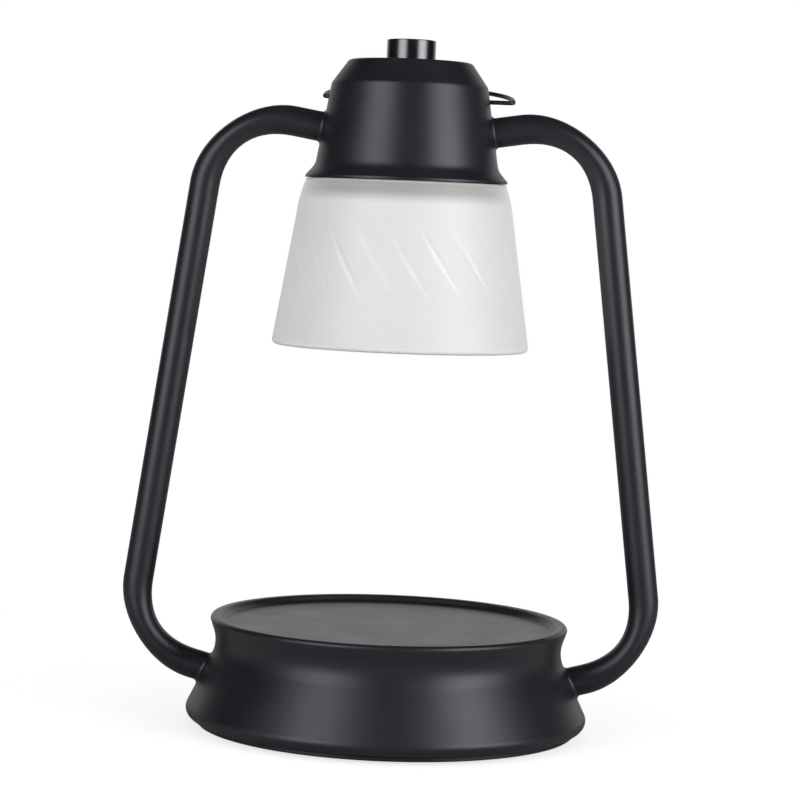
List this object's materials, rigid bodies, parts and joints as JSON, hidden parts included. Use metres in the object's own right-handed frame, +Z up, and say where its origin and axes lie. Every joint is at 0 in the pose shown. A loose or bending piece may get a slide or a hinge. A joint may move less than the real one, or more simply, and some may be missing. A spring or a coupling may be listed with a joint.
{
  "type": "candle warmer lamp",
  "caption": "Candle warmer lamp: round base with a dished top for a jar candle, bent tubes that hold a hood with a frosted glass shade and halogen bulb, a dimmer knob and a folding wire bail.",
  "frame": {"origin": "middle of the footprint, on the surface that the lamp stands on", "axes": "+Z up, the tubes stand in the XZ plane at -X and +X, the cord inlet and the folded bail are at +Y, the front is at -Y"},
  "size_m": [0.2206, 0.1648, 0.2822],
  "materials": {
    "powder_coat": "satin black powder coat",
    "knob_black": "black nickel, polished",
    "zinc_steel": "zinc plated steel",
    "brass": "plain brass",
    "shaft_aluminium": "turned",
    "grey_rubber": "matt black rubber",
    "silicone": "white silicone",
    "nylon": "natural nylon",
    "ceramic": "white steatite",
    "ring_bakelite": "black phenolic",
    "circuit_board": "brown paper laminate",
    "board_parts": "moulded components",
    "frosted_glass": "acid-frosted, smooth outside",
    "reflector_glass": "pressed glass with a mirror coat",
    "clear_glass": "clear",
    "core_insulation": "PVC insulation",
    "glass_sleeve": "woven glass sleeve"
  },
  "bodies": {
    "lamp": {"base_shell": "powder_coat", "tube_right": "powder_coat", "tube_left": "powder_coat", "base_collars": "powder_coat", "hood_collars": "powder_coat", "hood_shell": "powder_coat", "base_plate": "powder_coat", "base_posts": "zinc_steel", "plate_screws": "zinc_steel", "clamp_screws": "zinc_steel", "block_screw": "zinc_steel", "base_nipples": "zinc_steel", "base_saddles": "zinc_steel", "base_nuts": "zinc_steel", "hood_nipples": "zinc_steel", "hood_washers": "zinc_steel", "hood_nuts": "zinc_steel", "holder_bracket": "zinc_steel", "holder_screws": "zinc_steel", "dimmer_washer": "zinc_steel", "dimmer_nut": "zinc_steel", "bulb_pins": "zinc_steel", "terminal_barrels": "brass", "holder_contacts": "brass", "foot_pads": "grey_rubber", "cord_bush": "grey_rubber", "shade_gasket": "silicone", "terminal_block": "nylon", "lamp_holder": "ceramic", "bulb_cap": "ceramic", "shade_ring": "ring_bakelite", "dimmer_body": "ring_bakelite", "dimmer_board": "circuit_board", "board_parts": "board_parts", "glass_shade": "frosted_glass", "bulb_reflector": "reflector_glass", "bulb_lens": "clear_glass", "bulb_capsule": "clear_glass", "supply_cores": "core_insulation", "lamp_leads": "glass_sleeve"},
    "knob": {"knob": "knob_black", "dimmer_shaft": "shaft_aluminium"},
    "bail": {"bail": "powder_coat"}
  },
  "joints": [
    {"name": "knob_turn", "type": "hinge", "parent": "lamp", "child": "knob", "pos_m": [0, 0, 0.278], "axis": [0, 0, -1], "range_deg": [0, 280]},
    {"name": "bail_swing", "type": "hinge", "parent": "lamp", "child": "bail", "pos_m": [0, 0, 0.2583], "axis": [1, 0, 0], "range_deg": [-37, 199]}
  ]
}
